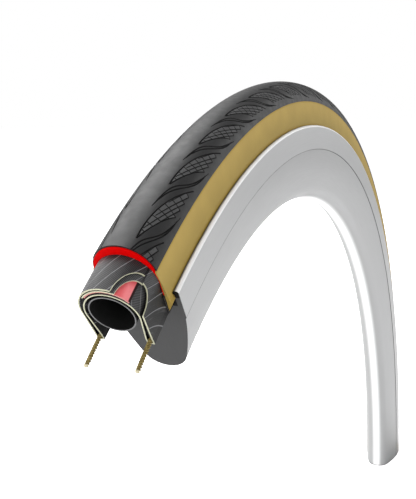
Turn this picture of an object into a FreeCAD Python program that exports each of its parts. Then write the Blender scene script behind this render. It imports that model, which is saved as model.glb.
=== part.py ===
import FreeCAD, Part
import math
import os

import Sketcher

# Cutaway display section of a road bicycle tire: a clincher tire with its inner tube on a deep
# rim. Every layer is a ring about the wheel axis and is cut back by its own angle, so that the
# layers show in steps at the near end. Lengths are in millimetres and angles in degrees.
#
# Row frame: the origin is the centre of the rim's flat far end, +Z is up, the wheel plane is XZ
# and the wheel axis is parallel to Y. Each profile is drawn with its distance from the wheel
# axis along X and its distance from the wheel plane along Y.

doc = FreeCAD.newDocument("CutawayTire")
sheet = doc.addObject("Spreadsheet::Sheet", "Sizes")

sizes = {
    # wheel and rim
    "beadDiameter": 622.0,      # circle on which both beads sit
    "hookHeight": 6.5,          # bead seat to the top of the rim's hooks
    "rimDepth": 39.7,           # hooks' top to the nose of the fairing
    "rimWidth": 28.8,           # over the hooks
    "rimInside": 25.9,          # between the walls, under the hooks
    "hookTip": 0.55,            # radius of the hook's inner lip
    "hookCorner": 1.1,          # radius of the hook's outer corner
    "trackDepth": 12.8,         # hooks' top to the lower edge of the brake track
    "trackTaper": 0.4,          # narrowing of each flank over the brake track
    "trackStep": 0.3,           # step from the brake track in to the fairing
    "wallFoot": 2.1,            # thickness of the rim wall at its lower edge
    "bedThickness": 1.85,       # rim bed
    "wellDepth": 2.55,          # centre well below the bead seats
    "wellClear": 10.8,          # width over the beads to the flat bottom of the centre well
    "wellSlope": 1.8,           # widening of the well from its bottom to its top
    "wellWall": 0.6,            # more at the well's sides than across it
    "shoulderRise": 3.85,       # bead seat to the top of the slanted shoulder
    "shoulderFoot": 0.6,        # bead seat to the foot of the slanted shoulder
    "shoulderClear": 0.45,      # bead to the foot of the shoulder
    "flankShare": 0.86,         # share of the track's taper left at the top of the shoulder
    "fairingWall": 1.8,
    "noseRadius": 8.9,
    "noseAngle": 18.3,          # where the fairing's flank runs into its nose
    "flankRadius": 110.0,       # curve of the fairing's flank
    "plateThickness": 0.5,      # plates that close the two cut ends of the rim
    # tire section
    "tireHeight": 29.4,         # bead seat to the crown of the tread
    "treadSwell": 0.4,          # round section of the tread outside that of the outer ply
    "treadEdgeAngle": 84.1,     # from the crown to the edge of the black tread
    "capEdgeStep": 1.0,         # slant of the tread's edge
    "capThickness": 0.6,        # black tread compound at the crown
    "capEdge": 0.48,            # and at its edge
    "baseSwell": 0.2,           # red base over the casing at its widest
    "baseFoot": 0.33,           # thickness of the red base at its foot
    "baseClear": 0.2,           # red base to the chafer
    "casingShort": 3.4,         # half the tire's height to the radius of the outer ply's section
    "casingDepth": 3.5,         # tread crown to the outer ply
    "flankAngle": 94.0,         # where the round casing turns into the straight flank
    "plyThickness": 0.45,
    "middleDrop": 0.95,         # crown of the outer ply to crown of the middle ply
    "innerDrop": 2.6,           # crown of the outer ply to crown of the inner ply
    "innerInset": 1.3,          # round section of the inner ply inside that of the outer ply
    "beltThickness": 0.5,
    "beltAngle": 54.5,          # from the crown to the edge of the belt
    "beltStep": 6.0,            # how much less the belt reaches on the far side
    "cushionStep": 1.0,         # belt's edge to the cushion's edge
    "overlapAngle": 58.0,       # how far the outer ply reaches over the crown
    "skimStep": 3.0,            # outer ply's edge to the edge of the rubber under it
    "lapStep": 2.0,             # outer ply's edge to where the middle ply comes outside
    "lapSlant": 1.0,            # slant of the middle ply's step outwards
    "fillerStep": 4.0,          # end of the round casing to the right filler's edge
    "middleAngle": 50.0,        # how far the middle ply reaches over the crown
    "sidewallFlare": 0.73,      # widening of the sidewall from the tread edge to the hook
    "flareRise": 0.4,           # rim's hooks to the sidewall's widest place
    "lipTuck": 0.5,             # sidewall's run straight down past the hook's lip
    "hookTuck": 1.1,            # and its run out under the hook
    "toeRise": 0.75,            # bead seat to the sidewall's foot
    "chaferThickness": 0.3,
    "chaferTop": 8.0,           # bead seat to the top of the chafer
    "beadHalfWidth": 10.6,      # wheel plane to the outside of the bead
    "beadFoot": 2.5,            # bead seat to the top of the bead's square foot
    "beadCoreDiameter": 1.4,
    "beadGap": 0.15,            # round the bead core
    "bondGap": 0.03,            # bond line between two layers
    "seatGap": 0.05,            # tire to rim
    # inner tube
    "tubeInset": 1.8,           # round section of the tube inside that of the inner ply
    "tubeWall": 0.45,
    "tubeGap": 0.95,            # inner ply to tube at the crown
    # cut angles, from the far end round to the near end
    "rimArc": 123.2,
    "capArc": 123.65,
    "rubberArc": 123.75,
    "chaferArc": 123.9,
    "fillArc": 126.12,
    "beltArc": 126.26,
    "plyArc": 126.3,
    "coreArc": 128.5,
    # windows cut in the two upper plies at the near end
    "outerWindowLength": 11.1,
    "outerWindowWidth": 7.1,
    "middleWindowLength": 8.5,
    "middleWindowWidth": 5.8,
    "middleWindowAngle": 60.0,
    "windowReach": 1.5,         # the window tools start this far outside the casing
    "windowCut": 5.3,           # and reach this deep
}


# ---- sizes as expressions -----------------------------------------------------------------

class Size:
    # A number together with the sheet expression that gives it.

    def __init__(self, value, text):
        self.value = value
        self.text = text

    def __add__(self, other):
        other = asSize(other)
        return Size(self.value + other.value, f"({self.text} + {other.text})")

    def __sub__(self, other):
        other = asSize(other)
        return Size(self.value - other.value, f"({self.text} - {other.text})")

    def __mul__(self, other):
        other = asSize(other)
        return Size(self.value * other.value, f"({self.text} * {other.text})")

    def __truediv__(self, other):
        other = asSize(other)
        return Size(self.value / other.value, f"({self.text} / {other.text})")

    def __neg__(self):
        return Size(-self.value, f"(0 - {self.text})")


def asSize(number):
    if isinstance(number, Size):
        return number
    return Size(float(number), f"({float(number)})")


def cosine(angle):
    angle = asSize(angle)
    return Size(math.cos(math.radians(angle.value)), f"cos({angle.text} * 1 deg)")


def sine(angle):
    angle = asSize(angle)
    return Size(math.sin(math.radians(angle.value)), f"sin({angle.text} * 1 deg)")


def fillSheet():
    named = {}
    for row, (name, value) in enumerate(sizes.items(), start=1):
        sheet.set(f"A{row}", name)
        sheet.set(f"B{row}", str(value))
        sheet.setAlias(f"B{row}", name)
        named[name] = Size(value, f"Sizes.{name}")
    doc.recompute()
    return named


size = fillSheet()
size["casingRadius"] = size["tireHeight"] / 2 - size["casingShort"]
size["treadRadius"] = size["casingRadius"] + size["treadSwell"]
size["innerRadius"] = size["casingRadius"] - size["innerInset"]
size["tubeRadius"] = size["innerRadius"] - size["tubeInset"]
size["wellWidth"] = size["beadHalfWidth"] * 2 - size["wellClear"]


# ---- sketches and bodies ------------------------------------------------------------------

def polar(centre, radius, angle):
    # A point of a section circle, its angle counted from the crown towards +Y.
    return (centre + radius * cosine(angle), radius * sine(angle))


class Arc:
    # An arc from one profile point to the next. fixed is the value that settles its centre:
    # "along" or "across" for a coordinate of the centre, "radius" for its radius.

    def __init__(self, fixed, amount, turn):
        self.fixed = fixed
        self.amount = asSize(amount)
        self.turn = turn        # +1 runs anticlockwise, -1 clockwise


def mirrored(items):
    # The same run on the other side of the wheel plane, walked the other way.
    flipped = []
    for item in reversed(items):
        if not isinstance(item, Arc):
            flipped.append((item[0], -item[1]))
        elif item.fixed == "across":
            flipped.append(Arc("across", -item.amount, item.turn))
        else:
            flipped.append(item)
    return flipped


def arcCentre(start, end, arc):
    midX = (start[0] + end[0]) / 2
    midY = (start[1] + end[1]) / 2
    normalX = start[1] - end[1]
    normalY = end[0] - start[0]
    if arc.fixed == "along":
        step = (arc.amount.value - midX) / normalX
    elif arc.fixed == "across":
        step = (arc.amount.value - midY) / normalY
    else:
        chord = math.hypot(normalX, normalY)
        step = arc.turn * math.sqrt(arc.amount.value ** 2 - chord ** 2 / 4) / chord
    return FreeCAD.Vector(midX + step * normalX, midY + step * normalY, 0)


def planeOf(body, role):
    for feature in body.Origin.OriginFeatures:
        if feature.Role == role:
            return feature
    raise RuntimeError(f"{body.Label} has no {role}")


def newSketch(body, name):
    sketch = body.newObject("Sketcher::SketchObject", name)
    sketch.AttachmentSupport = [(planeOf(body, "XY_Plane"), "")]
    sketch.MapMode = "FlatFace"
    return sketch


def bind(sketch, kind, *where, amount):
    index = sketch.addConstraint(Sketcher.Constraint(kind, *where, amount.value))
    sketch.setExpression(f"Constraints[{index}]", amount.text)


def drawOutline(sketch, items):
    # items is a closed chain of points, with an Arc between two points that an arc joins.
    points = []
    arcs = {}
    for item in items:
        if isinstance(item, Arc):
            arcs[len(points) - 1] = item
        else:
            points.append(item)
    count = len(points)
    firstEnds = {}
    for number in range(count):
        start = [part.value for part in points[number]]
        end = [part.value for part in points[(number + 1) % count]]
        startVector = FreeCAD.Vector(*start, 0)
        endVector = FreeCAD.Vector(*end, 0)
        arc = arcs.get(number)
        if arc is None:
            edge = sketch.addGeometry(Part.LineSegment(startVector, endVector), False)
            ends = (1, 2)
        else:
            centre = arcCentre(start, end, arc)
            radius = (startVector - centre).Length
            circle = Part.Circle(centre, FreeCAD.Vector(0, 0, 1), radius)
            begin, finish = (startVector, endVector) if arc.turn > 0 else (endVector, startVector)
            beginAngle = math.atan2(begin.y - centre.y, begin.x - centre.x)
            finishAngle = math.atan2(finish.y - centre.y, finish.x - centre.x)
            if finishAngle < beginAngle:
                finishAngle += 2 * math.pi
            edge = sketch.addGeometry(Part.ArcOfCircle(circle, beginAngle, finishAngle), False)
            ends = (1, 2) if arc.turn > 0 else (2, 1)
        firstEnds[number] = (edge, ends)
    for number in range(count):
        edge, ends = firstEnds[number]
        nextEdge, nextEnds = firstEnds[(number + 1) % count]
        sketch.addConstraint(Sketcher.Constraint("Coincident", edge, ends[1], nextEdge, nextEnds[0]))
        along, across = points[number]
        bind(sketch, "DistanceX", -1, 1, edge, ends[0], amount=along)
        bind(sketch, "DistanceY", -1, 1, edge, ends[0], amount=across)
        arc = arcs.get(number)
        if arc is not None and arc.fixed == "along":
            bind(sketch, "DistanceX", -1, 1, edge, 3, amount=arc.amount)
        elif arc is not None and arc.fixed == "across":
            bind(sketch, "DistanceY", -1, 1, edge, 3, amount=arc.amount)
        elif arc is not None:
            bind(sketch, "Radius", edge, amount=arc.amount)


def drawCircle(sketch, along, across, radius):
    centre = FreeCAD.Vector(along.value, across.value, 0)
    edge = sketch.addGeometry(Part.Circle(centre, FreeCAD.Vector(0, 0, 1), radius.value), False)
    bind(sketch, "DistanceX", -1, 1, edge, 3, amount=along)
    if across.value:
        bind(sketch, "DistanceY", -1, 1, edge, 3, amount=across)
    else:
        sketch.addConstraint(Sketcher.Constraint("PointOnObject", edge, 3, -1))
    bind(sketch, "Radius", edge, amount=radius)


def ringBody(name, draw, arc, begin=None):
    # A ring of the profile about the wheel axis, from the begin angle round by arc.
    body = doc.addObject("PartDesign::Body", name)
    body.Label = name
    sketch = newSketch(body, f"{name}_profile")
    draw(sketch)
    ring = body.newObject("PartDesign::Revolution", f"{name}_ring")
    ring.Profile = sketch
    ring.ReferenceAxis = (sketch, ["V_Axis"])
    ring.Reversed = True
    ring.setExpression("Angle", arc.text)
    sketch.Visibility = False
    begin = asSize(0) if begin is None else begin
    turn = FreeCAD.Rotation(FreeCAD.Vector(0, -1, 0), begin.value)
    body.Placement = FreeCAD.Placement(FreeCAD.Vector(-originRadius.value, 0, 0), turn)
    body.setExpression("Placement.Base.x", (-originRadius).text)
    return body


def outlineBody(name, items, arc, begin=None):
    return ringBody(name, lambda sketch: drawOutline(sketch, items), arc, begin)


def cutWindow(body, name, centre, radius, angle, along, across):
    # An elliptical window with its middle on the ply's front edge, cut square to the section
    # circle at angle. along is its half length round the wheel and across its half width.
    front = math.radians(size["plyArc"].value)
    lean = math.radians(angle.value)
    outward = FreeCAD.Vector(math.cos(front), 0, math.sin(front))
    forward = FreeCAD.Vector(-math.sin(front), 0, math.cos(front))
    normal = outward * math.cos(lean) + FreeCAD.Vector(0, 1, 0) * math.sin(lean)
    base = outward * centre.value + normal * (radius + size["windowReach"]).value
    sideways = normal.cross(forward)
    sketch = newSketch(body, name)
    sketch.AttachmentOffset = FreeCAD.Placement(base, FreeCAD.Rotation(forward, sideways, normal, "ZXY"))
    major = FreeCAD.Vector(along.value, 0, 0)
    minor = FreeCAD.Vector(0, across.value, 0)
    edge = sketch.addGeometry(Part.Ellipse(major, minor, FreeCAD.Vector(0, 0, 0)), False)
    sketch.exposeInternalGeometry(edge)
    sketch.addConstraint(Sketcher.Constraint("Horizontal", edge + 1))
    bind(sketch, "Distance", edge + 1, amount=along * 2)
    bind(sketch, "Distance", edge + 2, amount=across * 2)
    sketch.addConstraint(Sketcher.Constraint("Coincident", edge, 3, -1, 1))
    doc.recompute()
    before = body.Shape.Volume
    pocket = body.newObject("PartDesign::Pocket", f"{name}_cut")
    pocket.Profile = sketch
    pocket.setExpression("Length", size["windowCut"].text)
    sketch.Visibility = False
    doc.recompute()
    if body.Shape.Volume > before - 1:
        raise RuntimeError(f"{name} cut nothing")


# ---- shared radii -------------------------------------------------------------------------

seatRadius = size["beadDiameter"] / 2
hookTop = seatRadius + size["hookHeight"]
noseBottom = hookTop - size["rimDepth"]
originRadius = hookTop - size["rimDepth"] / 2
plateAngle = size["plateThickness"] / originRadius * (180 / math.pi)

bond = size["bondGap"]
ply = size["plyThickness"]
crown = seatRadius + size["tireHeight"]
treadCentre = crown - size["treadRadius"]
capInside = size["treadRadius"] - size["capEdge"]
capCentre = crown - size["capThickness"] - capInside
casingTop = crown - size["casingDepth"]
casingCentre = casingTop - size["casingRadius"]
middleRadius = size["casingRadius"] - ply - bond
middleCentre = casingTop - size["middleDrop"] - middleRadius
innerCentre = casingTop - size["innerDrop"] - size["innerRadius"]
beltRadius = middleRadius - ply - bond
flank = size["flankAngle"]

beadTop = seatRadius + size["beadFoot"]
beadOutside = size["beadHalfWidth"]
beadInside = beadOutside - ply
coreRadius = size["beadCoreDiameter"] / 2
coreAcross = beadInside - size["beadGap"] - coreRadius
coreAlong = seatRadius + ply + size["beadGap"] + coreRadius
innerFoot = coreAcross - coreRadius - size["beadGap"]   # outside of the inner ply at the bead


def flankWidth(along):
    # Outside of the casing on its straight flank, at a distance from the wheel axis.
    top, wide = polar(casingCentre, size["casingRadius"], flank)
    return beadOutside + (wide - beadOutside) * (along - beadTop) / (top - beadTop)


# ---- tread and sidewalls ------------------------------------------------------------------

def treadCap():
    edge = size["treadEdgeAngle"]
    outer = polar(treadCentre, size["treadRadius"], edge)
    inner = polar(capCentre, capInside, edge - size["capEdgeStep"])
    outline = [(outer[0], -outer[1]), Arc("along", treadCentre, 1), outer,
               inner, Arc("along", capCentre, -1), (inner[0], -inner[1])]
    outlineBody("tread_cap", outline, size["capArc"])


chaferTop = seatRadius + size["chaferTop"]
baseEdge = polar(capCentre, capInside - bond, size["treadEdgeAngle"] - size["capEdgeStep"])
baseBulge = (casingCentre, size["casingRadius"] + bond + size["baseSwell"])
baseEnd = chaferTop + size["baseClear"]
baseFoot = (baseEnd, flankWidth(baseEnd) + bond)


def treadBase():
    inner = polar(casingCentre, size["casingRadius"] + bond, flank)
    side = [baseEdge, baseBulge, (baseFoot[0], baseFoot[1] + size["baseFoot"]), baseFoot, inner]
    low = mirrored(side)
    outline = ([low[-1], Arc("along", capCentre, 1)] + side
               + [Arc("along", casingCentre, -1)] + low[:-1])
    outlineBody("tread_base", outline, size["rubberArc"])


def sidewallPoints():
    gap = size["seatGap"]
    top = polar(treadCentre, size["treadRadius"], size["treadEdgeAngle"])
    wall = size["rimInside"] / 2
    lipMiddle = hookTop - size["hookTip"]
    loose = gap * 1.5           # a little more than the seat's gap
    lip = wall - size["hookTip"] - loose
    shoulder = seatRadius + size["shoulderRise"]
    chaferOut = beadOutside + bond + size["chaferThickness"] + bond
    under = lipMiddle - size["hookTip"]
    return [
        (top[0] - bond, top[1] - bond),
        (hookTop + size["flareRise"], top[1] + size["sidewallFlare"]),
        (lipMiddle, lip),
        (under - size["lipTuck"], lip),
        (under - size["hookTuck"], wall - loose),
        (shoulder, wall - loose),
        (seatRadius + size["toeRise"], chaferOut + bond),
        (beadTop, chaferOut),
        (chaferTop + bond * 3, flankWidth(chaferTop) + bond * 4 + size["chaferThickness"]),
        (baseBulge[0], baseBulge[1] + bond),
        (top[0] - bond, baseEdge[1] + bond),
    ]


def sidewalls():
    points = sidewallPoints()
    outlineBody("sidewall_left", points, size["rubberArc"])
    outlineBody("sidewall_right", mirrored(points), size["rubberArc"])


def chafers():
    thick = size["chaferThickness"]
    inside = beadOutside + bond
    points = [
        (chaferTop, flankWidth(chaferTop) + bond),
        (beadTop, inside),
        (seatRadius + size["seatGap"], inside),
        (seatRadius + size["seatGap"], inside + thick),
        (beadTop - size["seatGap"], inside + thick),
        (chaferTop, flankWidth(chaferTop) + bond + thick),
    ]
    outlineBody("chafer_left", points, size["chaferArc"])
    outlineBody("chafer_right", mirrored(points), size["chaferArc"])


# ---- plies, belt and rubber between them --------------------------------------------------

def beadFoot(sign):
    # The ply's run round the outside and the bottom of one bead.
    toeward = innerFoot + bond
    side = asSize(sign)
    return [
        (beadTop, beadOutside * side),
        (seatRadius, beadOutside * side),
        (seatRadius, toeward * side),
        (seatRadius + ply, toeward * side),
        (seatRadius + ply, beadInside * side),
        (beadTop, beadInside * side),
    ]


def outerPly():
    radius = size["casingRadius"]
    over = -size["overlapAngle"]
    outline = [polar(casingCentre, radius, over), Arc("along", casingCentre, 1),
               polar(casingCentre, radius, flank)]
    outline += beadFoot(1)
    outline += [polar(casingCentre, radius - ply, flank), Arc("along", casingCentre, -1),
                polar(casingCentre, radius - ply, over)]
    body = outlineBody("outer_ply", outline, size["plyArc"])
    cutWindow(body, "outer_window", casingCentre, radius, over,
              size["outerWindowLength"], size["outerWindowWidth"])


def middlePly():
    radius = size["casingRadius"]
    start = size["middleAngle"]
    lap = -(size["overlapAngle"] + size["lapStep"])
    slant = size["lapSlant"]
    outline = [polar(middleCentre, middleRadius, start), Arc("along", middleCentre, -1),
               polar(middleCentre, middleRadius, lap),
               polar(casingCentre, radius, lap - slant / 2), Arc("across", 0, -1),
               polar(casingCentre, radius, -flank)]
    outline += beadFoot(-1)
    outline += [polar(casingCentre, radius - ply, -flank), Arc("across", 0, 1),
                polar(casingCentre, radius - ply, lap - slant * 3),
                polar(middleCentre, middleRadius - ply, lap - slant * 2), Arc("along", middleCentre, 1),
                polar(middleCentre, middleRadius - ply, start)]
    body = outlineBody("middle_ply", outline, size["plyArc"])
    cutWindow(body, "middle_window", casingCentre, radius, -size["middleWindowAngle"],
              size["middleWindowLength"], size["middleWindowWidth"])


def innerPly():
    radius = size["innerRadius"]
    outside = [polar(innerCentre, radius, flank), (beadTop, innerFoot), (seatRadius, innerFoot)]
    inside = [(seatRadius, innerFoot - ply), (beadTop, innerFoot - ply),
              polar(innerCentre, radius - ply, flank)]
    outline = ([Arc("along", innerCentre, 1)] + outside + inside
               + [Arc("along", innerCentre, -1)] + mirrored(inside) + mirrored(outside))
    outlineBody("inner_ply", outline[1:] + outline[:1], size["plyArc"])


def bandBetween(name, outerAt, innerAt, low, high, arc):
    # A crescent between two section circles, each given as its centre and radius.
    outline = [polar(*outerAt, low), Arc("along", outerAt[0], 1), polar(*outerAt, high),
               polar(*innerAt, high), Arc("along", innerAt[0], -1), polar(*innerAt, low)]
    return outlineBody(name, outline, arc)


def crownLayers():
    belt = size["beltAngle"]
    farBelt = belt - size["beltStep"]
    beltInside = beltRadius - size["beltThickness"]
    skim = bandBetween("skim_rubber", (casingCentre, size["casingRadius"] - ply - bond),
                       (middleCentre, middleRadius + bond), size["skimStep"] - size["overlapAngle"],
                       size["middleAngle"], size["fillArc"])
    cutWindow(skim, "skim_window", casingCentre, size["casingRadius"], -size["overlapAngle"],
              size["outerWindowLength"], size["outerWindowWidth"])
    bandBetween("puncture_belt", (middleCentre, beltRadius), (middleCentre, beltInside),
                -belt, farBelt, size["beltArc"])
    bandBetween("belt_cushion", (middleCentre, beltInside - bond),
                (innerCentre, size["innerRadius"] + bond), size["cushionStep"] - belt,
                farBelt - size["cushionStep"], size["fillArc"])


def filler(name, start, side):
    # Rubber wedge between the inner ply and the ply outside it, down to the bead core.
    outerRadius = size["casingRadius"] - ply - bond
    innerRadius = size["innerRadius"] + bond
    foot = beadTop - bond * 3
    points = [polar(casingCentre, outerRadius, start), Arc("across", 0, 1),
              polar(casingCentre, outerRadius, flank), (foot, beadInside - bond),
              (foot, innerFoot + bond), polar(innerCentre, innerRadius, flank),
              Arc("across", 0, -1), polar(innerCentre, innerRadius, start)]
    outlineBody(name, points if side > 0 else mirrored(points), size["fillArc"])


def beadCores():
    for name, side in (("bead_core_left", 1), ("bead_core_right", -1)):
        across = coreAcross * side
        ringBody(name, lambda sketch, at=across: drawCircle(sketch, coreAlong, at, coreRadius),
                 size["coreArc"])


def innerTube():
    centre = innerCentre + size["innerRadius"] - ply - size["tubeGap"] - size["tubeRadius"]

    def draw(sketch):
        drawCircle(sketch, centre, asSize(0), size["tubeRadius"])
        drawCircle(sketch, centre, asSize(0), size["tubeRadius"] - size["tubeWall"])

    ringBody("inner_tube", draw, size["plyArc"])


# ---- rim ----------------------------------------------------------------------------------

halfRim = size["rimWidth"] / 2
wallInside = size["rimInside"] / 2
trackFoot = hookTop - size["trackDepth"]
trackHalf = halfRim - size["trackTaper"]
shoulderTop = seatRadius + size["shoulderRise"]
shoulderFoot = (seatRadius + size["shoulderFoot"], beadOutside + size["shoulderClear"])
bedTop = seatRadius - size["seatGap"]
flankAtShoulder = (shoulderTop, trackHalf + size["trackTaper"] * size["flankShare"])
noseCentre = noseBottom + size["noseRadius"]


def hookPoints():
    # From the flank over the hook and down to the top of the slanted shoulder.
    return [
        (hookTop - size["hookCorner"], halfRim), Arc("radius", size["hookCorner"], -1),
        (hookTop, halfRim - size["hookCorner"]),
        (hookTop, wallInside), Arc("across", wallInside, -1),
        (hookTop - size["hookTip"] * 2, wallInside),
        (shoulderTop, wallInside),
    ]


def rimBody():
    well = size["wellWidth"] / 2
    slope = size["wellSlope"]
    side = size["wellWall"]
    under = bedTop - size["bedThickness"]
    wallFoot = trackHalf - size["wallFoot"]
    upper = [(trackFoot, trackHalf)] + hookPoints() + [
        shoulderFoot, (bedTop, shoulderFoot[1]), (bedTop, well + slope),
        (bedTop - size["wellDepth"], well)]
    lower = [(trackFoot, wallFoot), (under, wallFoot), (under, well + slope + side),
             (under - size["wellDepth"], well + side)]
    outline = upper + mirrored(upper) + mirrored(lower)[::-1] + lower[::-1]
    outlineBody("rim_body", outline, size["rimArc"] - plateAngle * 2, plateAngle)


def fairingPoints(inset):
    # One flank of the fairing, from its top edge down to where its nose begins.
    nose = size["noseRadius"] - inset
    angle = size["noseAngle"]
    top = (trackFoot - bond, trackHalf - size["trackStep"] - inset)
    end = (noseCentre - nose * sine(angle), nose * cosine(angle))
    return top, end


def fairing():
    wall = size["fairingWall"]
    top, end = fairingPoints(asSize(0))
    topIn, endIn = fairingPoints(wall)
    outline = [top, Arc("radius", size["flankRadius"], 1), end, Arc("along", noseCentre, 1),
               (end[0], -end[1]), Arc("radius", size["flankRadius"], 1), (top[0], -top[1]),
               (topIn[0], -topIn[1]), Arc("radius", size["flankRadius"] - wall, -1),
               (endIn[0], -endIn[1]), Arc("along", noseCentre, -1), endIn,
               Arc("radius", size["flankRadius"] - wall, -1), topIn]
    outlineBody("rim_fairing", outline, size["rimArc"] - plateAngle * 2, plateAngle)


def endPlates():
    top, end = fairingPoints(asSize(0))
    side = [(bedTop, shoulderFoot[1]), shoulderFoot, (shoulderTop, wallInside), flankAtShoulder,
            (trackFoot, trackHalf), top, Arc("radius", size["flankRadius"], 1), end]
    outline = side + [Arc("along", noseCentre, 1)] + mirrored(side)
    outlineBody("far_plate", outline, plateAngle)
    outlineBody("near_plate", outline, plateAngle, size["rimArc"] - plateAngle)


def hookFaces():
    # The hooks' cut ends, closed by small plates of their own at each end of the rim.
    outline = [flankAtShoulder] + hookPoints()
    starts = (("far", asSize(0)), ("near", size["rimArc"] - plateAngle))
    for place, begin in starts:
        outlineBody(f"{place}_hook_left", outline, plateAngle, begin)
        outlineBody(f"{place}_hook_right", mirrored(outline), plateAngle, begin)


# ---- build, check and write ---------------------------------------------------------------

def buildAll():
    treadCap()
    treadBase()
    sidewalls()
    chafers()
    outerPly()
    middlePly()
    innerPly()
    crownLayers()
    filler("filler_left", size["overlapAngle"], 1)
    filler("filler_right", flank - size["fillerStep"], -1)
    beadCores()
    innerTube()
    rimBody()
    fairing()
    endPlates()
    hookFaces()
    doc.recompute()


def checkAll():
    for item in doc.Objects:
        if "Invalid" in item.State or "Error" in item.State:
            raise RuntimeError(f"{item.Name} failed: {item.State}")
    for body in bodies():
        if body.Shape.isNull() or not body.Shape.isValid():
            raise RuntimeError(f"{body.Label} has no valid shape")
        if len(body.Shape.Solids) != 1:
            raise RuntimeError(f"{body.Label} is {len(body.Shape.Solids)} solids")


def bodies():
    return [item for item in doc.Objects if item.TypeId == "PartDesign::Body"]


def writeAll():
    os.makedirs("parts", exist_ok=True)
    for body in bodies():
        body.Shape.exportStep(f"parts/{body.Label}.step")
        print(f"{body.Label:16s} {body.Shape.Volume:10.1f} mm3")


buildAll()
checkAll()
writeAll()
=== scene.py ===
from math import ceil, cos, pi, radians, sin

import bpy
import bmesh
from mathutils import Matrix, Vector


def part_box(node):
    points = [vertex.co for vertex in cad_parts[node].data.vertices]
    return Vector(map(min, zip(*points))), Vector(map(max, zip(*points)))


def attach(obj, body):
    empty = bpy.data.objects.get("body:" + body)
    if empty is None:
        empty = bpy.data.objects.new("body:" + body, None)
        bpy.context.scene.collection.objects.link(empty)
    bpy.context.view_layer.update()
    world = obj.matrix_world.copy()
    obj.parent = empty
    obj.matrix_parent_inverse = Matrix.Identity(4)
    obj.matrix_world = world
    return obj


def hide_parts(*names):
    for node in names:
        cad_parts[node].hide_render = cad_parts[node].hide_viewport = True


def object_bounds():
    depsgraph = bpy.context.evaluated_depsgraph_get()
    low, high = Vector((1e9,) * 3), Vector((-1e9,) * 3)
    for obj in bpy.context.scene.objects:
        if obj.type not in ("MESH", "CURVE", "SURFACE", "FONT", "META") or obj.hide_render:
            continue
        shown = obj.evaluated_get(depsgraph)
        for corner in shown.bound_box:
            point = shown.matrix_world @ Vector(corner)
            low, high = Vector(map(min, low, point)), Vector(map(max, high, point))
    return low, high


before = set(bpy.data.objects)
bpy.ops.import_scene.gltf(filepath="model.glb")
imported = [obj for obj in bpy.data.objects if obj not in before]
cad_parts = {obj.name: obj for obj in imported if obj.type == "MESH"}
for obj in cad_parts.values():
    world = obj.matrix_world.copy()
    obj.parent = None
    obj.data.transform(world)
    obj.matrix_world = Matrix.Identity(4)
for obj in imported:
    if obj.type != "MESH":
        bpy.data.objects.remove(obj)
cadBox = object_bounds()
collection = bpy.context.scene.collection

# the tread's box gives the wheel: its crown is at the top of the arch, and the axle runs along Y
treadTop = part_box("tread_cap")[1]
crownRadius = treadTop.z
axleX = treadTop.x - crownRadius
plyFront = 126.3  # degrees round the wheel from the far end, where the casing is cut
casingCentre = 0.3256  # radius of the circle that the casing's round section is centred on
print("frame loaded: crown radius %.4f m, axle at x = %.4f m" % (crownRadius, axleX))


def wheelPoint(radius, side, turn):
    # a point at that radius, that far along the axle, and that angle round the wheel
    return Vector((axleX + radius * cos(turn), side, radius * sin(turn)))


def addPiece(name, bm, materials):
    mesh = bpy.data.meshes.new(name)
    bm.to_mesh(mesh)
    bm.free()
    piece = bpy.data.objects.new(name, mesh)
    for material in materials:
        mesh.materials.append(material)
    collection.objects.link(piece)
    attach(piece, "root")
    return piece


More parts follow.
